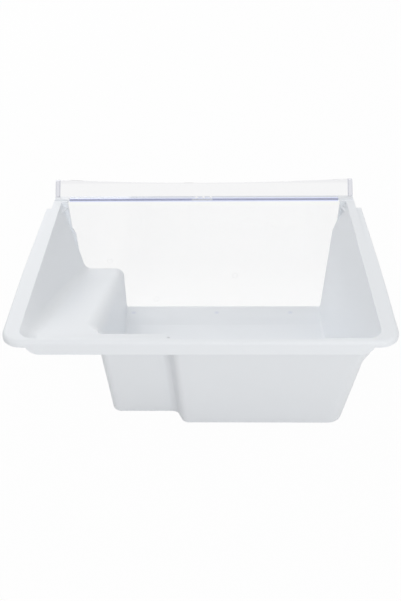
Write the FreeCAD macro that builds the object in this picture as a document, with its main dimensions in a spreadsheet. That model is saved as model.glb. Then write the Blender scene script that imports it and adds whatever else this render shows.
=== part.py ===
"""Fridge crisper drawer: a white moulded tub with a clear front panel snapped onto it, in millimetres.

The clear front faces -Y, the low raked rear wall is at +Y, and the ramp compartment is at +X.
Both bodies are drawn with Y = 0 on the tub's front face, then placed so that the origin lies
at the middle of the drawer's footprint, on the underside of its floor.
"""
import FreeCAD
import Part
import Sketcher
import math
import os
from types import SimpleNamespace

SIZES = (
    # Tub, main form
    ("tub_depth", 365, "front face to rear edge of the rim"),
    ("rim_height", 203, "top of the rim above the underside of the floor"),
    ("wall", 2.5, "wall and floor thickness"),
    ("rim_half", 218.5, "middle to inner edge of a side rim"),
    ("knee_down", 54, "rim down to the bend in the plain side wall"),
    ("knee_lean", 16.8, "lean of that wall from the bend up to the rim"),
    ("foot_lean", 10.2, "lean of that wall from the floor up to the bend"),
    ("bin_foot", 132.3, "middle to outside of the bin wall below the ramp, at the front of the floor"),
    ("bin_lean", 4, "lean of that bin wall over the height of the rim"),
    ("bin_taper", 8.2, "run of that bin wall towards the middle over the depth of the tub"),
    ("corner_round", 20, "rear upright corner of the bin on the plain side, outside"),
    ("ramp_corner", 11.5, "rear upright corner of the bin below the ramp, outside"),
    ("foot_round", 9.5, "edge of the floor, outside"),
    # Tub, ramp compartment
    ("ramp_front", 77.5, "underside of the ramp at the front"),
    ("ledge_long", 26, "length of the level ledge behind the ramp, up to the rear wall"),
    ("ledge_down", 13.5, "rim down to the underside of that ledge"),
    ("ramp_lean_front", 26, "lean of the ramp side wall at the front"),
    ("ramp_lean_rear", 13, "lean of the ramp side wall at the rear"),
    ("ramp_round", 16, "foot of the ramp side wall at the front, outside"),
    ("ramp_round_rear", 26, "the same at the rear"),
    ("ramp_edge", 13, "edge of the ramp towards the bin, inside, at the front"),
    ("ramp_edge_rear", 20, "the same towards the rear"),
    ("ramp_edge_end", 5, "the same where that rounding ends"),
    ("ramp_edge_stop", 40, "where that rounding starts to fade, measured back from the ledge"),
    ("ramp_edge_fade", 24, "length over which it fades"),
    # Tub, rear wall
    ("rear_inset", 5, "rear edge of the rim to the outside of the rear wall"),
    ("rear_lean", 77, "lean of the rear wall from the floor up to the lip"),
    ("recess_deep", 24, "step between the two halves of the rear wall"),
    ("recess_place", 32, "middle to the step, at the rim"),
    ("recess_lean", 6, "shift of the step towards the plain side at the floor"),
    ("recess_slant", 10, "sideways run of the step"),
    ("recess_round", 11, "rounding of the step"),
    # Tub, rim and rails
    ("rim_thick", 3, "rim and rail plate"),
    ("rim_strip", 12, "width of a side rim"),
    ("rim_round", 19, "inner rear corners of the rim"),
    ("rail_wide", 9.5, "rail beyond the side rim"),
    ("rail_round", 27, "outer rear corners of the rails"),
    ("rail_setback", 18.5, "front face to front end of the rails"),
    ("rail_slope", 186.5, "length of rail that slopes down to the front"),
    ("rail_drop", 4, "fall of that slope"),
    ("edge_skirt", 8.5, "downturned edge of the rails"),
    ("lip_tall", 19, "downturned lip along the rear rim"),
    ("lip_in", 30.7, "outer edge of the rails to the ends of the rear lip"),
    ("lip_round", 17, "lower corners of the rear lip"),
    # Tub, front ears, gussets and sill
    ("ear_thick", 4, "front ears"),
    ("ear_top_in", 8.9, "inner edge of the rim to inner edge of an ear, at the rim"),
    ("ear_jog_in", 11.8, "the same above the jog"),
    ("ear_jog_down", 47, "rim down to the jog"),
    ("jog_wide", 4.7, "sideways run of the jog"),
    ("jog_tall", 10, "height of the jog"),
    ("ear_foot_in", 19.8, "inner edge of the rim to the foot of an ear"),
    ("ear_foot_down", 103, "rim down to the foot of an ear"),
    ("ear_side", 53, "upright outer edge of an ear"),
    ("tab_long", 10, "tabs in front of the ears, which carry the ends of the ledge"),
    ("gusset_down", 9, "rim down to the top of the corner gussets"),
    ("gusset_long", 24, "corner gussets along the side wall"),
    ("sill_deep", 27, "raised sill at the front of the floor"),
    ("sill_margin", 8, "end of the hollow under the sill to the outside of the wall beside it"),
    # Front panel
    ("sheet", 2.5, "panel thickness"),
    ("panel_margin", 1, "outer edge of a side rim to the end of the panel"),
    ("panel_round", 12, "lower corners of the panel"),
    ("ledge_over", 2, "top of the ledge above the rim"),
    ("ledge_deep", 11, "ledge in front of the tub"),
    ("pull_rise", 19.5, "rise of the flared pull lip"),
    ("pull_reach", 16, "reach of the flared pull lip"),
    ("pull_dip", 4.5, "dip of the pull lip's top edge at its middle"),
    ("end_rib", 6, "ribs at the ends of the pull lip"),
    ("end_rib_deep", 3, "depth of those ribs"),
    ("pip_size", 4, "diameter of the moulded pips on the ledge"),
    ("pip_tall", 1.2, "height of those pips"),
    ("pip_pitch", 11, "spacing of those pips"),
    # Fixings between panel and tub
    ("seat_gap", 0.2, "panel to the front face of the tub"),
    ("slip_gap", 0.3, "foot flange, pegs, tongues and tabs to what they fit"),
    ("peg_size", 6.4, "diameter of the pegs"),
    ("peg_tall", 1.3, "height of the pegs"),
    ("peg_inset", 18, "front face to the pegs"),
    ("peg_ramp_in", 7.3, "ramp end of the sill's hollow to the peg nearest it"),
    ("peg_middle", -20, "middle to the middle peg"),
    ("peg_plain_in", 45, "plain end of the sill's hollow to the peg nearest it"),
    ("tongue_out", 6, "inner edge of a side rim to the middle of a tongue"),
    ("tongue_wide", 5, "tongue width"),
    ("tongue_tall", 7, "tongue height"),
    ("tongue_down", 17, "rim down to the middle of a tongue"),
    ("tongue_long", 9, "tongue behind the front face"),
)

# Tolerance for finding an edge by its place
NEAR = 0.01


class Size:
    """A length that carries its number and the expression that gives it from the size sheet."""

    def __init__(self, number, text):
        self.number = number
        self.text = text

    def __neg__(self):
        return Size(-self.number, f"(-{self.text})")

    def __add__(self, other):
        other = as_size(other)
        return Size(self.number + other.number, f"({self.text} + {other.text})")

    def __sub__(self, other):
        other = as_size(other)
        return Size(self.number - other.number, f"({self.text} - {other.text})")

    def __mul__(self, other):
        other = as_size(other)
        return Size(self.number * other.number, f"({self.text} * {other.text})")

    def __truediv__(self, other):
        other = as_size(other)
        return Size(self.number / other.number, f"({self.text} / {other.text})")


def as_size(value):
    """Turns a plain number into a Size."""
    return value if isinstance(value, Size) else Size(value, f"({value})")


def make_sheet(doc):
    """Writes the size sheet and returns its entries by name."""
    sheet = doc.addObject("Spreadsheet::Sheet", "Sizes")
    entries = {}
    for row, (name, number, meaning) in enumerate(SIZES, 1):
        sheet.set(f"A{row}", name)
        sheet.set(f"B{row}", str(number))
        sheet.set(f"C{row}", meaning)
        sheet.setAlias(f"B{row}", name)
        entries[name] = Size(number, f"Sizes.{name}")
    doc.recompute()
    return SimpleNamespace(**entries)


def bind(thing, prop, size):
    """Ties a property to the size sheet."""
    thing.setExpression(prop, as_size(size).text)


def place_body(body, s):
    """Places a body so that the origin is midway between the rear rim and the edge of the pull lip."""
    reach = s.ledge_deep + s.pull_reach + s.sheet
    bind(body, "Placement.Base.y", (reach - s.tub_depth) / 2)


def plane_sketch(body, name, plane, offset):
    """Starts a sketch on one of the body's own planes, shifted along that plane's normal."""
    sketch = body.newObject("Sketcher::SketchObject", name)
    planes = {feature.Role: feature for feature in body.Origin.OriginFeatures}
    sketch.AttachmentSupport = (planes[plane], [""])
    sketch.MapMode = "FlatFace"
    bind(sketch, "AttachmentOffset.Base.z", offset)
    return sketch


def place_point(sketch, geometry, vertex, across, up):
    """Fixes a sketch point by its two distances from the sketch's origin."""
    for kind, size in (("DistanceX", as_size(across)), ("DistanceY", as_size(up))):
        index = sketch.addConstraint(Sketcher.Constraint(kind, -1, 1, geometry, vertex, size.number))
        bind(sketch, f"Constraints[{index}]", size)


def corner_arc(before, corner, after, radius):
    """Where a rounded corner leaves its two lines, its arc, and whether it turns to the left."""
    towards = (before - corner).normalize()
    onwards = (after - corner).normalize()
    half = towards.getAngle(onwards) / 2
    first = corner + towards * (radius / math.tan(half))
    last = corner + onwards * (radius / math.tan(half))
    centre = corner + (towards + onwards).normalize() * (radius / math.sin(half))
    left = (corner - before).cross(after - corner).z > 0
    start, end = (first, last) if left else (last, first)
    angles = [math.atan2(point.y - centre.y, point.x - centre.x) for point in (start, end)]
    circle = Part.Circle(centre, FreeCAD.Vector(0, 0, 1), radius)
    return first, last, Part.ArcOfCircle(circle, *angles), left


def outline(body, name, plane, offset, corners):
    """A closed sketch through corners given as (across, up) or (across, up, radius)."""
    sketch = plane_sketch(body, name, plane, offset)
    points = [FreeCAD.Vector(as_size(c[0]).number, as_size(c[1]).number, 0) for c in corners]
    count = len(corners)
    starts, ends, arcs = list(points), list(points), {}
    for i, corner in enumerate(corners):
        if len(corner) == 3:
            radius = as_size(corner[2]).number
            following = points[(i + 1) % count]
            ends[i], starts[i], arc, left = corner_arc(points[i - 1], points[i], following, radius)
            arcs[i] = (sketch.addGeometry(arc), left)
    sides = [Part.LineSegment(starts[i], ends[(i + 1) % count]) for i in range(count)]
    lines = [sketch.addGeometry(side) for side in sides]
    for i, corner in enumerate(corners):
        before, after = lines[i - 1], lines[i]
        if i in arcs:
            arc, left = arcs[i]
            first, last = (1, 2) if left else (2, 1)
            sketch.addConstraint(Sketcher.Constraint("Tangent", before, 2, arc, first))
            sketch.addConstraint(Sketcher.Constraint("Tangent", arc, last, after, 1))
            index = sketch.addConstraint(Sketcher.Constraint("Radius", arc, as_size(corner[2]).number))
            bind(sketch, f"Constraints[{index}]", corner[2])
            point = sketch.addGeometry(Part.Point(points[i]), True)
            sketch.addConstraint(Sketcher.Constraint("PointOnObject", point, 1, before))
            sketch.addConstraint(Sketcher.Constraint("PointOnObject", point, 1, after))
            place_point(sketch, point, 1, corner[0], corner[1])
        else:
            sketch.addConstraint(Sketcher.Constraint("Coincident", before, 2, after, 1))
            place_point(sketch, after, 1, corner[0], corner[1])
    return sketch


def rounds(body, name, plane, offset, centres, diameter):
    """A sketch of equal circles."""
    sketch = plane_sketch(body, name, plane, offset)
    for across, up in centres:
        centre = FreeCAD.Vector(as_size(across).number, as_size(up).number, 0)
        circle = Part.Circle(centre, FreeCAD.Vector(0, 0, 1), as_size(diameter).number / 2)
        ring = sketch.addGeometry(circle)
        place_point(sketch, ring, 3, across, up)
        index = sketch.addConstraint(Sketcher.Constraint("Diameter", ring, as_size(diameter).number))
        bind(sketch, f"Constraints[{index}]", diameter)
    return sketch


def loft(body, name, sections):
    """Adds a body with straight sides between sketched sections."""
    feature = body.newObject("PartDesign::AdditiveLoft", name)
    feature.Profile = sections[0]
    feature.Sections = sections[1:]
    feature.Ruled = True
    return feature


def extrude(body, name, sketch, length, cut=False, back=False):
    """Pads or pockets a sketch by a length, backwards if asked."""
    feature = body.newObject("PartDesign::Pocket" if cut else "PartDesign::Pad", name)
    feature.Profile = sketch
    feature.Reversed = back
    bind(feature, "Length", length)
    body.Document.recompute()
    return feature


def mirrored(body, name, features):
    """Repeats features on the other side of the drawer's middle plane."""
    feature = body.newObject("PartDesign::Mirrored", name)
    planes = {item.Role: item for item in body.Origin.OriginFeatures}
    feature.Originals = features
    feature.MirrorPlane = (planes["YZ_Plane"], [""])
    body.Tip = feature
    body.Document.recompute()
    return feature


def bin_wall(s, depth, height, skin):
    """Middle to the bin wall below the ramp, at one distance from the front face and one height."""
    lean = s.bin_lean * height / s.rim_height
    return s.bin_foot + lean - s.bin_taper * depth / s.tub_depth - skin


def bin_section(body, name, s, height, plain_half, rear, skin):
    """Plan outline of the deep bin at one height, drawn in from the outside by a skin thickness."""
    rise = height / s.rim_height
    step = s.recess_place - s.recess_lean + s.recess_lean * rise - skin
    recess = rear - s.recess_deep - skin
    plain_wall = -plain_half + skin
    corners = (
        (plain_wall, 0),
        (bin_wall(s, as_size(0), height, skin), 0),
        (bin_wall(s, recess, height, skin), recess, s.ramp_corner - skin),
        (step + s.recess_slant, recess, s.recess_round + skin),
        (step, rear - skin, s.recess_round - skin),
        (plain_wall, rear - skin, s.corner_round - skin),
    )
    return outline(body, name, "XY_Plane", height, corners)


def ramp_section(body, name, s, depth, height, skin, edge=None):
    """Cross-section of the ramp compartment at one distance from the front face.

    With an edge radius it also takes in a strip of the bin below, so that the ramp runs down
    into the bin wall over a rounded edge.
    """
    along = depth / (s.tub_depth - s.rear_inset - skin)
    outside = s.rim_half + s.wall - skin
    foot_half = outside - s.ramp_lean_front + (s.ramp_lean_front - s.ramp_lean_rear) * along
    foot_round = s.ramp_round + (s.ramp_round_rear - s.ramp_round) * along - skin
    start = s.recess_place - s.recess_slant
    if edge:
        below = height - edge - s.wall * 2
        inner = (
            (start, below),
            (bin_wall(s, depth, below, skin), below),
            (bin_wall(s, depth, height, skin), height, edge - s.wall + skin),
        )
    else:
        inner = ((start, height),)
    corners = (
        (start, s.rim_height),
        *inner,
        (foot_half, height, foot_round),
        (outside, s.rim_height),
    )
    return outline(body, name, "XZ_Plane", -depth, corners)


def trim_corner(body, name, s, skin):
    """Rounds the rear upright corner of the ramp compartment."""
    rear = s.tub_depth - s.rear_inset - skin
    half = s.rim_half + s.wall - skin
    radius = s.rim_round + s.wall - skin
    corners = (
        (half, rear - radius * 2),
        (half + radius, rear - radius * 2),
        (half + radius, rear + radius),
        (half - radius * 2, rear + radius),
        (half - radius * 2, rear),
        (half, rear, radius),
    )
    sketch = outline(body, f"{name}_plan", "XY_Plane", s.rim_height, corners)
    return extrude(body, name, sketch, s.knee_down, cut=True)


def tub_form(doc, label, s, skin, floor):
    """The tub as a full block, or, with a skin, the block that its inside takes away."""
    body = doc.addObject("PartDesign::Body", label)
    outside = s.rim_half + s.wall
    ramp = s.ramp_front + skin
    ledge = s.rim_height - s.ledge_down + skin
    knee = s.rim_height - s.knee_down
    top_rear = s.tub_depth - s.rear_inset
    ramp_long = top_rear - s.ledge_long
    slope = (ledge - ramp) / ramp_long
    edge_long = ramp_long - s.ramp_edge_stop
    faded = edge_long + s.ramp_edge_fade
    rounded = (
        ("front", as_size(0), s.ramp_edge),
        ("middle", edge_long, s.ramp_edge_rear),
        ("faded", faded, s.ramp_edge_end),
    )
    sections = [
        ramp_section(body, f"{label}_ramp_{name}", s, depth, ramp + slope * depth, skin, edge)
        for name, depth, edge in rounded
    ]
    loft(body, f"{label}_ramp", sections)
    plain = (
        ("start", faded, ramp + slope * faded),
        ("level", ramp_long, ledge),
        ("rear", top_rear - skin, ledge),
    )
    sections = [
        ramp_section(body, f"{label}_ledge_{name}", s, depth, height, skin)
        for name, depth, height in plain
    ]
    loft(body, f"{label}_ledge", sections)
    foot_half = outside - s.knee_lean - s.foot_lean + s.foot_lean * floor / knee
    ledge_half = outside - s.knee_lean * (s.rim_height - ledge) / s.knee_down
    foot_rear = top_rear - s.rear_lean
    levels = (
        ("foot", floor, foot_half, foot_rear + s.rear_lean * floor / ledge),
        ("knee", knee, outside - s.knee_lean, foot_rear + s.rear_lean * knee / ledge),
        ("ledge", ledge, ledge_half, top_rear),
        ("rim", s.rim_height, outside, top_rear),
    )
    sections = [
        bin_section(body, f"{label}_bin_{name}", s, height, plain_half, bin_rear, skin)
        for name, height, plain_half, bin_rear in levels
    ]
    loft(body, f"{label}_bin", sections)
    trim_corner(body, f"{label}_corner", s, skin)
    doc.recompute()
    return body


def round_edges(body, name, radius, wanted):
    """Rounds the edges of a body for which the test on five points along the edge holds."""
    body.Document.recompute()
    base = body.Tip
    names = [f"Edge{i}" for i, edge in enumerate(base.Shape.Edges, 1) if wanted(edge.discretize(5))]
    feature = body.newObject("PartDesign::Fillet", name)
    feature.Base = (base, names)
    bind(feature, "Radius", radius)
    return feature


def round_foot(body, s, skin, floor):
    """Rounds the edge of the bin's floor, except along the open front."""

    def on_foot(points):
        return all(abs(p.z - floor.number) < NEAR for p in points) and points[0].y + points[-1].y > NEAR

    round_edges(body, f"{body.Name}_foot", s.foot_round - skin, on_foot)


def cut_inside(body, core):
    """Takes the inside out of the tub."""
    feature = body.newObject("PartDesign::Boolean", "inside")
    feature.Type = "Cut"
    feature.setObjects([core])
    return feature


def add_rim(body, s):
    """The rim plate with its level rails, the downturned edge and the rear lip."""
    edge = s.rim_half + s.rim_strip
    rail = edge + s.rail_wide
    rear = s.tub_depth
    level = s.rail_setback + s.rail_slope
    inner_rear = rear - s.rear_inset - s.wall
    plate = (
        (-edge, 0),
        (-s.rim_half, 0),
        (-s.rim_half, inner_rear, s.rim_round),
        (s.rim_half, inner_rear, s.rim_round),
        (s.rim_half, 0),
        (edge, 0),
        (edge, level),
        (rail, level),
        (rail, rear, s.rail_round),
        (-rail, rear, s.rail_round),
        (-rail, level),
        (-edge, level),
    )
    plate_sketch = outline(body, "rim_plan", "XY_Plane", s.rim_height, plate)
    extrude(body, "rim_plate", plate_sketch, s.rim_thick, back=True)
    inside = rail - s.wall
    skirt = (
        (-rail, level),
        (-inside, level),
        (-inside, rear - s.wall, s.rail_round - s.wall),
        (inside, rear - s.wall, s.rail_round - s.wall),
        (inside, level),
        (rail, level),
        (rail, rear, s.rail_round),
        (-rail, rear, s.rail_round),
    )
    skirt_sketch = outline(body, "rail_edge_plan", "XY_Plane", s.rim_height, skirt)
    extrude(body, "rail_edge", skirt_sketch, s.edge_skirt, back=True)
    foot = s.rim_height - s.lip_tall
    lip_half = rail - s.lip_in
    lip = (
        (-lip_half, s.rim_height),
        (-lip_half, foot, s.lip_round),
        (lip_half, foot, s.lip_round),
        (lip_half, s.rim_height),
    )
    extrude(body, "rear_lip", outline(body, "rear_lip_face", "XZ_Plane", -rear, lip), s.wall)


def add_sloped_rails(body, s):
    """The front part of each rail, which slopes down to the front beside the level rim."""
    edge = s.rim_half + s.rim_strip
    top = s.rim_height
    front, rear = s.rail_setback, s.rail_setback + s.rail_slope
    low = top - s.rail_drop
    web = (
        (as_size(0), top),
        (as_size(0), low - s.edge_skirt),
        (front, low - s.edge_skirt),
        (rear, top - s.edge_skirt),
        (rear, top),
    )
    plate = ((front, low), (front, low - s.rim_thick), (rear, top - s.rim_thick), (rear, top))
    skirt = ((front, low), (front, low - s.edge_skirt), (rear, top - s.edge_skirt), (rear, top))
    bands = (
        ("rail_web", web, edge - s.wall, s.wall),
        ("rail_plate", plate, edge, s.rail_wide),
        ("rail_skirt", skirt, edge + s.rail_wide - s.wall, s.wall),
    )
    pads = [
        extrude(body, name, outline(body, f"{name}_side", "YZ_Plane", place, corners), width)
        for name, corners, place, width in bands
    ]
    mirrored(body, "rails", pads)


def add_ears(body, s):
    """The front ears with their tabs and windows, which hold the panel, and the corner gussets."""
    edge = s.rim_half + s.rim_strip
    top = s.rim_height
    ear = (
        (s.rim_half - s.ear_top_in, top),
        (s.rim_half - s.ear_jog_in, top - s.ear_jog_down),
        (s.rim_half - s.ear_jog_in - s.jog_wide, top - s.ear_jog_down - s.jog_tall),
        (s.rim_half - s.ear_foot_in, top - s.ear_foot_down),
        (s.rim_half - s.ear_foot_in + s.wall * 2, top - s.ear_foot_down),
        (edge, top - s.ear_side),
        (edge, top),
    )
    gusset = (
        (s.rim_half - s.ear_top_in, s.ear_thick),
        (s.rim_half, s.ear_thick),
        (s.rim_half, s.ear_thick + s.gusset_long),
    )
    ear_sketch = outline(body, "ear_face", "XZ_Plane", as_size(0), ear)
    gusset_sketch = outline(body, "gusset_plan", "XY_Plane", top - s.gusset_down, gusset)
    pads = [
        extrude(body, "ear", ear_sketch, s.ear_thick, back=True),
        extrude(body, "tab", tab_face(body, "tab_face", s, as_size(0), as_size(0)), s.tab_long),
        extrude(body, "gusset", gusset_sketch, s.wall, back=True),
    ]
    mirrored(body, "ears", pads)
    place = s.rim_half + s.tongue_out
    sketch = tongue_face(body, "window_face", s, place, s.slip_gap, as_size(0))
    mirrored(body, "windows", [extrude(body, "window", sketch, s.ear_thick, cut=True)])


def tab_face(body, name, s, gap, depth):
    """Face of the tab in front of an ear, or, with a gap, of the notch that it fills in the panel."""
    inside = s.rim_half - s.ear_top_in - gap
    outside = s.rim_half + s.rim_strip
    top = s.rim_height + s.ledge_over - s.sheet - s.slip_gap + gap
    foot = top - s.rim_thick - gap * 2
    corners = ((inside, foot), (outside, foot), (outside, top), (inside, top))
    return outline(body, name, "XZ_Plane", -depth, corners)


def tongue_face(body, name, s, place, gap, depth):
    """Face of one of the panel's tongues, or, with a gap, of the window that takes it."""
    half_wide = s.tongue_wide / 2 + gap
    half_tall = s.tongue_tall / 2 + gap
    middle = s.rim_height - s.tongue_down
    corners = (
        (place - half_wide, middle - half_tall),
        (place + half_wide, middle - half_tall),
        (place + half_wide, middle + half_tall),
        (place - half_wide, middle + half_tall),
    )
    return outline(body, name, "XZ_Plane", -depth, corners)


def sill_ends(s):
    """Where the hollow under the sill ends, on the ramp side and on the plain side."""
    plain_foot = s.rim_half + s.wall - s.knee_lean - s.foot_lean
    return s.bin_foot - s.sill_margin, s.sill_margin - plain_foot


def peg_centres(s):
    """Plan positions of the three pegs on the foot flange."""
    ramp_end, plain_end = sill_ends(s)
    places = (ramp_end - s.peg_ramp_in, s.peg_middle, plain_end + s.peg_plain_in)
    return [(place, s.peg_inset) for place in places]


def add_sill(body, s):
    """The raised front sill of the floor, hollow for the foot flange, with sockets for its pegs."""
    lift = s.sheet + s.slip_gap
    ramp_end, plain_end = sill_ends(s)
    reach = s.sill_margin - s.wall
    raised = (
        (plain_end - reach, 0),
        (ramp_end + reach, 0),
        (ramp_end + reach, s.sill_deep + s.wall),
        (plain_end - reach, s.sill_deep + s.wall),
    )
    extrude(body, "sill", outline(body, "sill_plan", "XY_Plane", s.wall, raised), lift)
    hollow = ((plain_end, 0), (ramp_end, 0), (ramp_end, s.sill_deep), (plain_end, s.sill_deep))
    sketch = outline(body, "sill_hollow_plan", "XY_Plane", as_size(0), hollow)
    extrude(body, "sill_hollow", sketch, lift, cut=True, back=True)
    wide = s.peg_size + s.slip_gap * 2
    sockets = rounds(body, "peg_socket_plan", "XY_Plane", lift, peg_centres(s), wide)
    extrude(body, "peg_sockets", sockets, s.peg_tall, cut=True, back=True)


def make_panel(doc, s):
    """The clear front panel: sheet, ledge, flared pull lip, foot flange, pegs and tongues."""
    body = doc.addObject("PartDesign::Body", "front_panel")
    place_body(body, s)
    half = s.rim_half + s.rim_strip - s.panel_margin
    inner, outer = -s.seat_gap, -s.seat_gap - s.sheet
    ledge = s.rim_height + s.ledge_over
    pull_top = ledge + s.pull_rise
    pull_foot, pull_edge = -s.ledge_deep, -s.ledge_deep - s.pull_reach
    profile = (
        (outer, 0),
        (inner, 0),
        (inner, ledge),
        (pull_foot, ledge),
        (pull_edge, pull_top),
        (pull_edge - s.sheet, pull_top),
        (pull_foot - s.sheet / 2, ledge - s.sheet),
        (outer, ledge - s.sheet),
    )
    extrude(body, "panel_sheet", outline(body, "panel_profile", "YZ_Plane", -half, profile), half * 2)
    rib = (
        (pull_foot, ledge),
        (pull_edge, pull_top),
        (pull_edge + s.end_rib_deep, pull_top),
        (pull_foot + s.end_rib_deep, ledge),
    )
    rib_sketch = outline(body, "end_rib_side", "YZ_Plane", half - s.end_rib, rib)
    place = s.rim_half + s.tongue_out
    tongue_sketch = tongue_face(body, "tongue_face", s, place, as_size(0), inner)
    sides = [
        extrude(body, "end_rib", rib_sketch, s.end_rib),
        extrude(body, "tongue", tongue_sketch, s.tongue_long + s.seat_gap, back=True),
    ]
    mirrored(body, "panel_sides", sides)
    notch_sketch = tab_face(body, "notch_face", s, s.slip_gap, outer)
    mirrored(body, "notches", [extrude(body, "notch", notch_sketch, s.sheet, cut=True)])
    dip = dip_sketch(body, s, half - s.end_rib, pull_top, pull_edge - s.sheet)
    extrude(body, "pull_dip", dip, s.pull_reach + s.sheet, cut=True)
    pips = [(s.pip_pitch * step, pull_foot / 2) for step in (-1, 0, 1)]
    extrude(body, "pips", rounds(body, "pip_plan", "XY_Plane", ledge, pips, s.pip_size), s.pip_tall)
    ramp_end, plain_end = sill_ends(s)
    flange = (
        (plain_end + s.slip_gap, inner),
        (ramp_end - s.slip_gap, inner),
        (ramp_end - s.slip_gap, s.sill_deep - s.slip_gap),
        (plain_end + s.slip_gap, s.sill_deep - s.slip_gap),
    )
    flange_sketch = outline(body, "foot_flange_plan", "XY_Plane", as_size(0), flange)
    extrude(body, "foot_flange", flange_sketch, s.sheet)
    peg_sketch = rounds(body, "peg_plan", "XY_Plane", s.sheet, peg_centres(s), s.peg_size)
    extrude(body, "pegs", peg_sketch, s.peg_tall)

    def lower_corner(points):
        return all(abs(abs(p.x) - half.number) < NEAR and abs(p.z) < NEAR for p in points)

    round_edges(body, "panel_corners", s.panel_round, lower_corner)
    doc.recompute()
    return body


def dip_sketch(body, s, half, top, place):
    """The shallow arc by which the pull lip's top edge dips towards its middle."""
    sketch = plane_sketch(body, "pull_dip_face", "XZ_Plane", -place)
    radius = (half * half + s.pull_dip * s.pull_dip) / (s.pull_dip * 2)
    left = FreeCAD.Vector(-half.number, top.number, 0)
    right = FreeCAD.Vector(half.number, top.number, 0)
    bottom = FreeCAD.Vector(0, top.number - s.pull_dip.number, 0)
    line = sketch.addGeometry(Part.LineSegment(left, right))
    arc = sketch.addGeometry(Part.Arc(left, bottom, right))
    place_point(sketch, line, 1, -half, top)
    place_point(sketch, line, 2, half, top)
    sketch.addConstraint(Sketcher.Constraint("Coincident", arc, 1, line, 1))
    sketch.addConstraint(Sketcher.Constraint("Coincident", arc, 2, line, 2))
    index = sketch.addConstraint(Sketcher.Constraint("Radius", arc, radius.number))
    bind(sketch, f"Constraints[{index}]", radius)
    return sketch


def make_tub(doc, s):
    """The white tub: its block, less its inside, with rim, rails, lip, ears and sill."""
    tub = tub_form(doc, "tub", s, as_size(0), as_size(0))
    place_body(tub, s)
    core = tub_form(doc, "tub_core", s, s.wall, s.wall)
    round_foot(tub, s, as_size(0), as_size(0))
    round_foot(core, s, s.wall, s.wall)
    cut_inside(tub, core)
    add_rim(tub, s)
    add_sloped_rails(tub, s)
    add_ears(tub, s)
    add_sill(tub, s)
    doc.recompute()
    return tub


def check(doc, parts):
    """Stops if a feature failed, a cut took nothing away or a piece is not one sound solid."""
    for item in doc.Objects:
        if "Invalid" in item.State or "Error" in item.State:
            raise RuntimeError(f"{item.Name} failed")
        if item.TypeId == "PartDesign::Pocket" and item.Shape.Volume >= item.BaseFeature.Shape.Volume:
            raise RuntimeError(f"{item.Name} cuts nothing")
    for part in parts:
        if part.Shape.isNull() or not part.Shape.isValid() or len(part.Shape.Solids) != 1:
            raise RuntimeError(f"{part.Label} is not one sound solid")


doc = FreeCAD.newDocument("crisper_drawer")
s = make_sheet(doc)
parts = [make_tub(doc, s), make_panel(doc, s)]
check(doc, parts)
os.makedirs("parts", exist_ok=True)
for part in parts:
    part.Shape.exportStep(f"parts/{part.Label}.step")
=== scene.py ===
"""Fridge crisper drawer: a white moulded tub closed at the front by a clear panel, in metres.

The clear front faces -Y, the low raked rear wall is at +Y, and the ramp shelf is at +X.
"""
import bmesh
import bpy
import math
from mathutils import Matrix, Vector


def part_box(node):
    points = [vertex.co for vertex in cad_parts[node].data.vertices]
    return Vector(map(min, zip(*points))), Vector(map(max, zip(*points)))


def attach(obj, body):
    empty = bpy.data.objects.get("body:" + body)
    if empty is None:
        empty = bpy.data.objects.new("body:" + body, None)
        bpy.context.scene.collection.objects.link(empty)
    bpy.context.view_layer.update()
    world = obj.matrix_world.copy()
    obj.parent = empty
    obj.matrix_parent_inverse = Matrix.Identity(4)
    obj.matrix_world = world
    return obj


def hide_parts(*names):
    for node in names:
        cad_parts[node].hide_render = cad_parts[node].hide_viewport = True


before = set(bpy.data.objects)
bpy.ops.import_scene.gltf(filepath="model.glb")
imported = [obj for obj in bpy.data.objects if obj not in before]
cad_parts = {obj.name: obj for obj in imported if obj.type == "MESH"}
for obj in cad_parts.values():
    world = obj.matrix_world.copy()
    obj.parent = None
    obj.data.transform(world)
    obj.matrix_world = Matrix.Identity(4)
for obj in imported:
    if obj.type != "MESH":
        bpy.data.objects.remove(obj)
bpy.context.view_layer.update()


# Tub: one thin-walled white polystyrene moulding, with bin, ramp shelf, rim, rails, ears and sill.
# It comes out of the mould in one shot, so every edge is a little rounded and the skin is satin.
# The rear rim is rounded most and the sill slopes down to the floor. Over the pegs, soft bluish
# grey spots are painted shade that stands in for shallow sink marks.

WELD_REACH = 2e-6
HAIR = 1e-5
FLAT_ANGLE = math.radians(0.4)
SHARP_ANGLE = math.radians(28)
SMOOTH_ANGLE = math.radians(38)
SQUARE_ON = 0.9
UPRIGHT = 0.3
RIM_EDGE_ROUND = 0.005
RIM_EDGE_STEPS = 6
RAIL_EDGE_ROUND = 0.0014
TUB_EDGE_ROUND = 0.0009
TUB_EDGE_STEPS = 2
RAIL_FALL = 0.0045
RAIL_CORNER = 0.03
TAB_LONG = 0.010
SILL_TOP = 0.0053
SILL_DEEP = 0.0295
SILL_RUN = 0.020
SILL_RAMP_END = 0.1283
FLOOR_TOP = 0.0025
PEG_INSET = 0.018
PEG_PLACES = (0.117, -0.020, -0.141)
# Painted shade: soft bluish grey spots in the colour stand in for shallow sink marks over the
# pegs.
PEG_SINK_SHADE_REACH = 0.006
PEG_SINK_SHADE_COLOUR = (0.80, 0.83, 0.91, 1)
# A small round spot of darker grey is painted at the end of the rear ledge, by the step.
DARK_SPOT_PLACE = (0.0380, 0.1738, 0.192)
DARK_SPOT_REACH = 0.0035
DARK_SPOT_COLOUR = (0.66, 0.68, 0.71, 1)
WHITE_DULL = (0.893, 0.918, 0.948, 1)
WHITE_FRESH = (0.912, 0.934, 0.960, 1)

tub_low, tub_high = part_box("tub")
tub_front = tub_low.y + TAB_LONG


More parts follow.
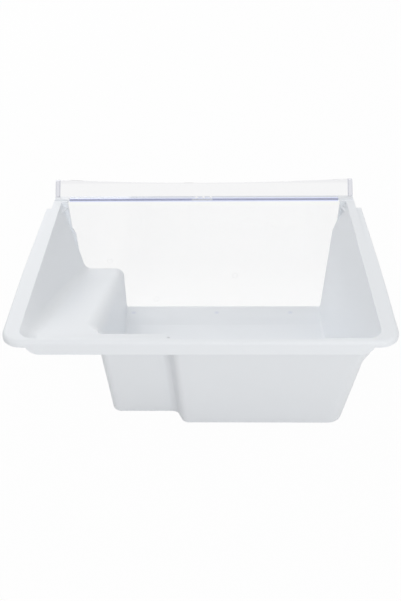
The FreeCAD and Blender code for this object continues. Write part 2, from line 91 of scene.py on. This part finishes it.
def welded_copy(node):
    """A copy of a solid's mesh with its loose triangles joined into whole faces."""
    work = bmesh.new()
    work.from_mesh(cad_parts[node].data)
    bmesh.ops.remove_doubles(work, verts=work.verts, dist=WELD_REACH)
    bmesh.ops.dissolve_limit(work, angle_limit=FLAT_ANGLE, verts=work.verts, edges=work.edges)
    return work


def round_edges(work, edges, radius, steps):
    """Rounds edges of a mesh and gives the points of the rounding."""
    made = bmesh.ops.bevel(
        work, geom=edges, offset=radius, offset_type="OFFSET", segments=steps, profile=0.5,
        affect="EDGES", clamp_overlap=True, loop_slide=True, material=-1,
    )
    return made["verts"]


def is_rim_edge(edge):
    """Whether an edge runs along the outside of the rim and rails, at their top."""
    middle = (edge.verts[0].co + edge.verts[1].co) / 2
    if min(v.co.z for v in edge.verts) < tub_high.z - RAIL_FALL or len(edge.link_faces) != 2:
        return False
    if abs(middle.x) < tub_high.x - TUB_EDGE_ROUND and middle.y < tub_high.y - RAIL_CORNER:
        return False
    normals = [face.normal for face in edge.link_faces]
    outward = [n for n in normals if abs(n.z) < UPRIGHT and n.x * middle.x + n.y * middle.y > 0]
    return bool(outward) and any(n.z > SQUARE_ON for n in normals)


def sharp_edges(work):
    """Edges between faces that meet at a clear angle."""
    return [e for e in work.edges if e.is_manifold and e.calc_face_angle() > SHARP_ANGLE]


def moulding(work, name):
    """Makes a piece of a finished mesh, shaded smooth over its roundings and flat elsewhere."""
    mesh = bpy.data.meshes.new(name)
    work.to_mesh(mesh)
    work.free()
    mesh.polygons.foreach_set("use_smooth", [True] * len(mesh.polygons))
    mesh.set_sharp_from_angle(angle=SMOOTH_ANGLE)
    piece = bpy.data.objects.new(name, mesh)
    bpy.context.scene.collection.objects.link(piece)
    weighted = piece.modifiers.new("flat_faces", "WEIGHTED_NORMAL")
    weighted.keep_sharp = True
    shaded = piece.evaluated_get(bpy.context.evaluated_depsgraph_get())
    piece.data = bpy.data.meshes.new_from_object(shaded)
    piece.modifiers.clear()
    return piece


def taper_along_rails(points):
    """Draws the rim's rounding in to a tight one along both rails, ahead of the rear corners."""
    tight = RAIL_EDGE_ROUND / RIM_EDGE_ROUND
    rings = {}
    for point in points:
        if point.co.y < tub_high.y - RAIL_CORNER:
            rings.setdefault((point.co.x > 0, round(point.co.y, 3)), []).append(point)
    for (ramp_side, _), ring in rings.items():
        side = tub_high.x if ramp_side else tub_low.x
        top = max(point.co.z for point in ring)
        for point in ring:
            point.co.x = side + (point.co.x - side) * tight
            point.co.z = top + (point.co.z - top) * tight


def slope_sill(work):
    """Lets the sill run out towards the floor in a gentle slope behind it."""
    rise = SILL_TOP - FLOOR_TOP
    for point in work.verts:
        below = SILL_TOP - point.co.z
        on_step = abs(point.co.y - tub_front - SILL_DEEP) < HAIR and point.co.x < SILL_RAMP_END
        if on_step and HAIR < below < rise + HAIR:
            point.co.y += SILL_RUN * below / rise


tub_work = welded_copy("tub")
slope_sill(tub_work)
rim_edges = [e for e in tub_work.edges if is_rim_edge(e)]
taper_along_rails(round_edges(tub_work, rim_edges, RIM_EDGE_ROUND, RIM_EDGE_STEPS))
round_edges(tub_work, sharp_edges(tub_work), TUB_EDGE_ROUND, TUB_EDGE_STEPS)
tub = moulding(tub_work, "tub_moulding")


def moulded_skin():
    """Shader group: the slight unevenness of a moulded skin, as a height and as a patchy mask."""
    group = bpy.data.node_groups.new("moulded_skin", "ShaderNodeTree")
    group.interface.new_socket("Grain Scale", in_out="INPUT", socket_type="NodeSocketFloat")
    group.interface.new_socket("Flow Scale", in_out="INPUT", socket_type="NodeSocketFloat")
    group.interface.new_socket("Height", in_out="OUTPUT", socket_type="NodeSocketFloat")
    group.interface.new_socket("Patches", in_out="OUTPUT", socket_type="NodeSocketFloat")
    nodes, links = group.nodes, group.links
    entry = nodes.new("NodeGroupInput")
    leave = nodes.new("NodeGroupOutput")
    place = nodes.new("ShaderNodeTexCoord")
    grain = nodes.new("ShaderNodeTexNoise")
    grain.inputs["Detail"].default_value = 3.0
    flow = nodes.new("ShaderNodeTexNoise")
    flow.inputs["Detail"].default_value = 2.0
    flow.inputs["Distortion"].default_value = 0.6
    links.new(place.outputs["Object"], grain.inputs["Vector"])
    links.new(place.outputs["Object"], flow.inputs["Vector"])
    links.new(entry.outputs["Grain Scale"], grain.inputs["Scale"])
    links.new(entry.outputs["Flow Scale"], flow.inputs["Scale"])
    links.new(grain.outputs["Fac"], leave.inputs["Height"])
    links.new(flow.outputs["Fac"], leave.inputs["Patches"])
    return group


def round_mark():
    """Shader group: a soft round mask around one place."""
    group = bpy.data.node_groups.new("round_mark", "ShaderNodeTree")
    group.interface.new_socket("Place", in_out="INPUT", socket_type="NodeSocketVector")
    group.interface.new_socket("Reach", in_out="INPUT", socket_type="NodeSocketFloat")
    group.interface.new_socket("Mask", in_out="OUTPUT", socket_type="NodeSocketFloat")
    nodes, links = group.nodes, group.links
    entry = nodes.new("NodeGroupInput")
    leave = nodes.new("NodeGroupOutput")
    here = nodes.new("ShaderNodeTexCoord")
    away = nodes.new("ShaderNodeVectorMath")
    away.operation = "DISTANCE"
    fade = nodes.new("ShaderNodeMapRange")
    fade.interpolation_type = "SMOOTHSTEP"
    fade.inputs["To Min"].default_value = 1.0
    fade.inputs["To Max"].default_value = 0.0
    links.new(here.outputs["Object"], away.inputs[0])
    links.new(entry.outputs["Place"], away.inputs[1])
    links.new(away.outputs["Value"], fade.inputs["Value"])
    links.new(entry.outputs["Reach"], fade.inputs["From Max"])
    links.new(fade.outputs["Result"], leave.inputs["Mask"])
    return group


skin_group = moulded_skin()
mark_group = round_mark()


def white_polystyrene():
    """Satin white with a cool cast, a little uneven in tone and gloss, with painted spots: shade
    over the pegs and a dark grey spot by the step.
    """
    material = bpy.data.materials.new("white_polystyrene")
    material.use_nodes = True
    nodes, links = material.node_tree.nodes, material.node_tree.links
    shader = nodes["Principled BSDF"]
    shader.inputs["IOR"].default_value = 1.5
    shader.inputs["Specular IOR Level"].default_value = 0.35
    skin = nodes.new("ShaderNodeGroup")
    skin.node_tree = skin_group
    skin.inputs["Grain Scale"].default_value = 1400.0
    skin.inputs["Flow Scale"].default_value = 9.0
    shade = nodes.new("ShaderNodeMix")
    shade.data_type = "RGBA"
    shade.inputs["A"].default_value = WHITE_DULL
    shade.inputs["B"].default_value = WHITE_FRESH
    marked = shade.outputs["Result"]
    # Round spots painted into the colour: a small dark grey one at the end of the rear ledge, and
    # bluish grey painted shade over the three pegs.
    marks = [(DARK_SPOT_PLACE, DARK_SPOT_REACH, DARK_SPOT_COLOUR)]
    for across in PEG_PLACES:
        marks.append(((across, tub_front + PEG_INSET, SILL_TOP), PEG_SINK_SHADE_REACH, PEG_SINK_SHADE_COLOUR))
    for place, reach, colour in marks:
        mark = nodes.new("ShaderNodeGroup")
        mark.node_tree = mark_group
        mark.inputs["Place"].default_value = place
        mark.inputs["Reach"].default_value = reach
        blend = nodes.new("ShaderNodeMix")
        blend.data_type = "RGBA"
        blend.inputs["B"].default_value = colour
        links.new(marked, blend.inputs["A"])
        links.new(mark.outputs["Mask"], blend.inputs["Factor"])
        marked = blend.outputs["Result"]
    gloss = nodes.new("ShaderNodeMapRange")
    gloss.inputs["To Min"].default_value = 0.38
    gloss.inputs["To Max"].default_value = 0.52
    bump = nodes.new("ShaderNodeBump")
    bump.inputs["Strength"].default_value = 0.06
    bump.inputs["Distance"].default_value = 0.0002
    links.new(skin.outputs["Patches"], shade.inputs["Factor"])
    links.new(skin.outputs["Patches"], gloss.inputs["Value"])
    links.new(skin.outputs["Height"], bump.inputs["Height"])
    links.new(marked, shader.inputs["Base Color"])
    links.new(gloss.outputs["Result"], shader.inputs["Roughness"])
    links.new(bump.outputs["Normal"], shader.inputs["Normal"])
    return material


tub.data.materials.append(white_polystyrene())
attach(tub, "root")
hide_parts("tub")


# Front panel: one clear moulding, the front sheet with a ledge and a flared pull lip on top.
# Pegs in the sill, tongues in the ears and tabs below the ledge hold it. Where one looks into
# the thickness of the plastic, along its edges, it is blue or lavender.

CUT_REACH = 1e-6
FACING = 0.7
SHEET = 0.0025
SEAT_GAP = 0.0002
LEDGE_TOP = 0.205
BLUE_HALF = 0.2068
BLUE_DEEP = 0.0018
BLUE_TALL = 0.0026
LAVENDER_DEEP = 0.0052
LAVENDER_TALL = 0.0044
GREY_DEEP = 0.0100
END_RIB = 0.007
PIP_MIDDLE = 0.002
PIP_HALF = 0.016
CLEAR, PALE, BLUE, GREY, LAVENDER, LIP_END, PIP, RIB = range(8)

_, panel_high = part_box("front_panel")
sheet_inner = tub_front - SEAT_GAP
panel_work = welded_copy("front_panel")
panel_cuts = (
    *(((0, sheet_inner - deep, 0), (0, 1, 0)) for deep in (BLUE_DEEP, LAVENDER_DEEP, GREY_DEEP)),
    *(((0, 0, LEDGE_TOP - tall), (0, 0, 1)) for tall in (BLUE_TALL, LAVENDER_TALL)),
    *(((side * BLUE_HALF, 0, 0), (1, 0, 0)) for side in (-1, 1)),
    *(((side * (panel_high.x - END_RIB), 0, 0), (1, 0, 0)) for side in (-1, 1)),
    *(((PIP_MIDDLE + side * PIP_HALF, 0, 0), (1, 0, 0)) for side in (-1, 1)),
)
for place, normal in panel_cuts:
    geometry = panel_work.verts[:] + panel_work.edges[:] + panel_work.faces[:]
    bmesh.ops.bisect_plane(
        panel_work, geom=geometry, dist=CUT_REACH, plane_co=place, plane_no=normal,
    )


def panel_finish(face):
    """Which finish a face of the panel has, by where it lies on the sheet, ledge or lip."""
    middle, normal = face.calc_center_median(), face.normal
    deep = sheet_inner - middle.y
    at_end = abs(middle.x) > panel_high.x - END_RIB
    if abs(normal.x) > FACING:
        return LIP_END if at_end and middle.z > LEDGE_TOP else PALE
    if at_end and middle.z > LEDGE_TOP + SEAT_GAP:
        return RIB
    if abs(middle.x) > BLUE_HALF:
        on_seat = LEDGE_TOP - SHEET < middle.z < LEDGE_TOP + SEAT_GAP
        return PALE if on_seat and (at_end or deep < GREY_DEEP) else CLEAR
    between_pips = abs(middle.x - PIP_MIDDLE) < PIP_HALF
    if normal.z > SQUARE_ON and abs(middle.z - LEDGE_TOP) < SEAT_GAP:
        if deep < BLUE_DEEP:
            return LAVENDER if between_pips else BLUE
        return LAVENDER if deep < LAVENDER_DEEP else GREY if deep < GREY_DEEP else CLEAR
    if normal.y > SQUARE_ON and deep < SHEET and middle.z > LEDGE_TOP - LAVENDER_TALL:
        if middle.z > LEDGE_TOP - BLUE_TALL:
            return PIP if between_pips else BLUE
        return LAVENDER
    return CLEAR


panel_work.normal_update()
for face in panel_work.faces:
    face.material_index = panel_finish(face)
panel = moulding(panel_work, "front_panel_moulding")


def clear_plastic(name, tints, clearness, to_rough):
    """Plastic, clear or not, with a tint that changes with height and flow marks in its gloss."""
    material = bpy.data.materials.new(name)
    material.use_nodes = True
    nodes, links = material.node_tree.nodes, material.node_tree.links
    shader = nodes["Principled BSDF"]
    place = nodes.new("ShaderNodeTexCoord")
    parts = nodes.new("ShaderNodeSeparateXYZ")
    height = nodes.new("ShaderNodeMapRange")
    height.inputs["From Max"].default_value = panel_high.z
    tint = nodes.new("ShaderNodeValToRGB")
    while len(tint.color_ramp.elements) < len(tints):
        tint.color_ramp.elements.new(1.0)
    for stop, (up, colour) in zip(tint.color_ramp.elements, tints):
        stop.position = up / panel_high.z
        stop.color = (*colour, 1)
    links.new(place.outputs["Object"], parts.inputs[0])
    links.new(parts.outputs["Z"], height.inputs["Value"])
    links.new(height.outputs["Result"], tint.inputs["Fac"])
    links.new(tint.outputs["Color"], shader.inputs["Base Color"])
    shader.inputs["Transmission Weight"].default_value = clearness
    shader.inputs["IOR"].default_value = 1.5
    skin = nodes.new("ShaderNodeGroup")
    skin.node_tree = skin_group
    skin.inputs["Flow Scale"].default_value = 6.0
    gloss = nodes.new("ShaderNodeMapRange")
    gloss.inputs["To Min"].default_value = 0.01
    gloss.inputs["To Max"].default_value = to_rough
    links.new(skin.outputs["Patches"], gloss.inputs["Value"])
    links.new(gloss.outputs["Result"], shader.inputs["Roughness"])
    path = nodes.new("ShaderNodeLightPath")
    through = nodes.new("ShaderNodeBsdfTransparent")
    blend = nodes.new("ShaderNodeMixShader")
    links.new(path.outputs["Is Shadow Ray"], blend.inputs["Fac"])
    links.new(shader.outputs[0], blend.inputs[1])
    links.new(through.outputs[0], blend.inputs[2])
    links.new(blend.outputs[0], nodes["Material Output"].inputs["Surface"])
    return material


SHEET_TINTS = (
    (0.02, (0.985, 0.985, 0.985)),
    (0.09, (0.955, 0.955, 0.955)),
    (0.192, (0.955, 0.955, 0.955)),
    (0.1965, (0.965, 0.968, 0.940)),
    (0.200, (0.970, 0.972, 0.985)),
    (0.2045, (0.925, 0.925, 0.930)),
    (0.2195, (0.925, 0.925, 0.930)),
    (0.2205, (0.872, 0.872, 0.885)),
)
panel_finishes = (
    ("clear_sheet", SHEET_TINTS, 1.0, 0.05),
    ("pale_edge", ((0.0, (0.88, 0.90, 0.93)), (0.2, (0.86, 0.88, 0.91))), 0.0, 0.3),
    ("blue_edge", ((0.0, (0.39, 0.41, 0.59)), (0.2, (0.42, 0.44, 0.62))), 0.0, 0.3),
    ("grey_edge", ((0.0, (0.50, 0.54, 0.62)), (0.2, (0.48, 0.52, 0.60))), 1.0, 0.08),
    ("lavender_edge", ((0.0, (0.64, 0.70, 0.97)), (0.2, (0.62, 0.68, 0.97))), 1.0, 0.08),
    ("lip_end", ((0.0, (0.46, 0.46, 0.56)), (0.2, (0.44, 0.44, 0.54))), 0.0, 0.3),
    ("pip_edge", ((0.0, (0.66, 0.67, 0.74)), (0.2, (0.64, 0.65, 0.72))), 0.0, 0.3),
    ("end_rib", ((0.0, (0.76, 0.765, 0.80)), (0.2, (0.74, 0.745, 0.79))), 1.0, 0.05),
)
for name, tints, clearness, to_rough in panel_finishes:
    panel.data.materials.append(clear_plastic(name, tints, clearness, to_rough))
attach(panel, "root")
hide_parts("front_panel")


# Pin marks: three faint round beads that the mould's pins leave on the panel's inner face.
# They are of the panel's own clear plastic, and stand a little proud of the sheet.

PIN_RADIUS = 0.0042
PIN_BEAD = 0.0005
PIN_PLACES = ((0.080, 0.0201), (0.1521, 0.094), (-0.0498, 0.0658))


def pin_beads():
    """Geometry group: a round bead, standing upright and facing +Y, at each point of a mesh."""
    group = bpy.data.node_groups.new("pin_beads", "GeometryNodeTree")
    ends = group.interface
    ends.new_socket("Places", in_out="INPUT", socket_type="NodeSocketGeometry")
    ring_radius = ends.new_socket("Ring Radius", in_out="INPUT", socket_type="NodeSocketFloat")
    bead_radius = ends.new_socket("Bead Radius", in_out="INPUT", socket_type="NodeSocketFloat")
    finish = ends.new_socket("Finish", in_out="INPUT", socket_type="NodeSocketMaterial")
    ends.new_socket("Beads", in_out="OUTPUT", socket_type="NodeSocketGeometry")
    nodes, links = group.nodes, group.links
    entry = nodes.new("NodeGroupInput")
    leave = nodes.new("NodeGroupOutput")
    ring = nodes.new("GeometryNodeCurvePrimitiveCircle")
    ring.inputs["Resolution"].default_value = 48
    section = nodes.new("GeometryNodeCurvePrimitiveCircle")
    section.inputs["Resolution"].default_value = 10
    bead = nodes.new("GeometryNodeCurveToMesh")
    upright = nodes.new("GeometryNodeTransform")
    upright.inputs["Rotation"].default_value = (math.pi / 2, 0, 0)
    spread = nodes.new("GeometryNodeInstanceOnPoints")
    solid = nodes.new("GeometryNodeRealizeInstances")
    finished = nodes.new("GeometryNodeSetMaterial")
    links.new(entry.outputs["Ring Radius"], ring.inputs["Radius"])
    links.new(entry.outputs["Bead Radius"], section.inputs["Radius"])
    links.new(ring.outputs["Curve"], bead.inputs["Curve"])
    links.new(section.outputs["Curve"], bead.inputs["Profile Curve"])
    links.new(bead.outputs["Mesh"], upright.inputs["Geometry"])
    links.new(entry.outputs["Places"], spread.inputs["Points"])
    links.new(upright.outputs["Geometry"], spread.inputs["Instance"])
    links.new(spread.outputs["Instances"], solid.inputs["Geometry"])
    links.new(solid.outputs["Geometry"], finished.inputs["Geometry"])
    links.new(entry.outputs["Finish"], finished.inputs["Material"])
    links.new(finished.outputs["Geometry"], leave.inputs["Beads"])
    return group, ring_radius.identifier, bead_radius.identifier, finish.identifier


pin_mesh = bpy.data.meshes.new("pin_marks")
pin_mesh.from_pydata([(across, sheet_inner + PIN_BEAD, up) for across, up in PIN_PLACES], [], [])
pins = bpy.data.objects.new("pin_marks", pin_mesh)
bpy.context.scene.collection.objects.link(pins)
bead_group, ring_input, bead_input, finish_input = pin_beads()
beads = pins.modifiers.new("beads", "NODES")
beads.node_group = bead_group
beads[ring_input] = PIN_RADIUS
beads[bead_input] = PIN_BEAD
beads[finish_input] = panel.data.materials[CLEAR]
made = pins.evaluated_get(bpy.context.evaluated_depsgraph_get())
pins.data = bpy.data.meshes.new_from_object(made)
pins.modifiers.clear()
pins.data.polygons.foreach_set("use_smooth", [True] * len(pins.data.polygons))
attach(pins, "root")


# Stage: a plain white floor, white surroundings that are dimmer low at both sides, and three large
# soft lamps: over the ramp side, in front, and on the camera's side. The camera looks down into
# the drawer from behind.

FLOOR_HALF = 6.0
FLOOR_DROP = 0.0006
LAMP_TARGET = Vector((0, 0, 0.1))
IMAGE_TALL = 601
FOCAL_PIXELS = 850
SENSOR = 36.0
CAMERA_PLACE = (-0.02225, 1.00441, 0.80359)
CAMERA_PITCH = 0.5908
CAMERA_YAW = -0.0249
CAMERA_ROLL = -0.0151

floor_mesh = bpy.data.meshes.new("floor")
corner_signs = ((-1, -1), (1, -1), (1, 1), (-1, 1))
floor_corners = [(x * FLOOR_HALF, y * FLOOR_HALF, -FLOOR_DROP) for x, y in corner_signs]
floor_mesh.from_pydata(floor_corners, [], [(0, 1, 2, 3)])
floor = bpy.data.objects.new("floor", floor_mesh)
bpy.context.scene.collection.objects.link(floor)


def seen_directly(nodes, links):
    """Socket that is 1 for rays from the camera, a gloss or a clear piece, and 0 for others."""
    path = nodes.new("ShaderNodeLightPath")
    first = nodes.new("ShaderNodeMath")
    first.operation = "MAXIMUM"
    second = nodes.new("ShaderNodeMath")
    second.operation = "MAXIMUM"
    links.new(path.outputs["Is Camera Ray"], first.inputs[0])
    links.new(path.outputs["Is Glossy Ray"], first.inputs[1])
    links.new(first.outputs[0], second.inputs[0])
    links.new(path.outputs["Is Transmission Ray"], second.inputs[1])
    return second.outputs[0]


floor_white = bpy.data.materials.new("floor_white")
floor_white.use_nodes = True
nodes, links = floor_white.node_tree.nodes, floor_white.node_tree.links
matt = nodes["Principled BSDF"]
matt.inputs["Base Color"].default_value = (0.75, 0.75, 0.75, 1)
matt.inputs["Roughness"].default_value = 0.9
matt.inputs["Specular IOR Level"].default_value = 0.0
glow = nodes.new("ShaderNodeEmission")
share = nodes.new("ShaderNodeMapRange")
share.inputs["To Max"].default_value = 0.97
blend = nodes.new("ShaderNodeMixShader")
links.new(seen_directly(nodes, links), share.inputs["Value"])
links.new(share.outputs["Result"], blend.inputs["Fac"])
links.new(matt.outputs[0], blend.inputs[1])
links.new(glow.outputs[0], blend.inputs[2])
links.new(blend.outputs[0], nodes["Material Output"].inputs["Surface"])
floor.data.materials.append(floor_white)

world = bpy.data.worlds.new("white_surroundings")
bpy.context.scene.world = world
world.use_nodes = True
nodes, links = world.node_tree.nodes, world.node_tree.links
sky = nodes["Background"]
sky.inputs["Color"].default_value = (1, 1, 1, 1)
direction = nodes.new("ShaderNodeTexCoord")
parts = nodes.new("ShaderNodeSeparateXYZ")
sideways = nodes.new("ShaderNodeMath")
sideways.operation = "ABSOLUTE"
beside = nodes.new("ShaderNodeMapRange")
beside.inputs["From Min"].default_value = 0.25
beside.inputs["From Max"].default_value = 0.75
below = nodes.new("ShaderNodeMapRange")
below.inputs["From Min"].default_value = 0.25
below.inputs["From Max"].default_value = 0.75
below.inputs["To Min"].default_value = 1.0
below.inputs["To Max"].default_value = 0.0
dim = nodes.new("ShaderNodeMath")
dim.operation = "MULTIPLY"
light_level = nodes.new("ShaderNodeMapRange")
light_level.inputs["To Min"].default_value = 0.81
light_level.inputs["To Max"].default_value = 0.14
level = nodes.new("ShaderNodeMix")
level.inputs["B"].default_value = 1.0
links.new(direction.outputs["Generated"], parts.inputs[0])
links.new(parts.outputs["X"], sideways.inputs[0])
links.new(sideways.outputs[0], beside.inputs["Value"])
links.new(parts.outputs["Z"], below.inputs["Value"])
links.new(beside.outputs["Result"], dim.inputs[0])
links.new(below.outputs["Result"], dim.inputs[1])
links.new(dim.outputs[0], light_level.inputs["Value"])
links.new(light_level.outputs["Result"], level.inputs["A"])
links.new(seen_directly(nodes, links), level.inputs["Factor"])
links.new(level.outputs["Result"], sky.inputs["Strength"])


def soft_lamp(name, place, size, watts):
    """A large square lamp that faces the drawer."""
    data = bpy.data.lights.new(name, "AREA")
    data.size = size
    data.energy = watts
    lamp = bpy.data.objects.new(name, data)
    lamp.location = place
    lamp.rotation_euler = (LAMP_TARGET - Vector(place)).to_track_quat("-Z", "Y").to_euler()
    bpy.context.scene.collection.objects.link(lamp)


soft_lamp("ramp_side_lamp", place=(1.0, 0, 2.0), size=1.4, watts=1.6)
soft_lamp("camera_side_lamp", place=(-0.9, 2.3, 0.6), size=1.6, watts=16.8)
soft_lamp("front_lamp", place=(1.0, -1.8, 1.2), size=1.6, watts=10.2)

camera_data = bpy.data.cameras.new("camera")
camera_data.sensor_width = SENSOR
camera_data.lens = FOCAL_PIXELS / IMAGE_TALL * SENSOR
camera = bpy.data.objects.new("camera", camera_data)
bpy.context.scene.collection.objects.link(camera)
level_view = Matrix(((1, 0, 0), (0, 0, -1), (0, 1, 0)))
tip = Matrix.Rotation(CAMERA_PITCH, 3, "X")
turn = Matrix.Rotation(CAMERA_YAW, 3, "Z")
lean = Matrix.Rotation(CAMERA_ROLL, 3, "Z")
right, down, forward = lean @ tip @ level_view @ turn
from_behind = Matrix.Diagonal((-1, -1, 1))
axes = Matrix((from_behind @ right, from_behind @ -down, from_behind @ -forward))
camera.matrix_world = Matrix.Translation(CAMERA_PLACE) @ axes.transposed().to_4x4()
bpy.context.scene.camera = camera
bpy.context.scene.view_settings.view_transform = "Standard"
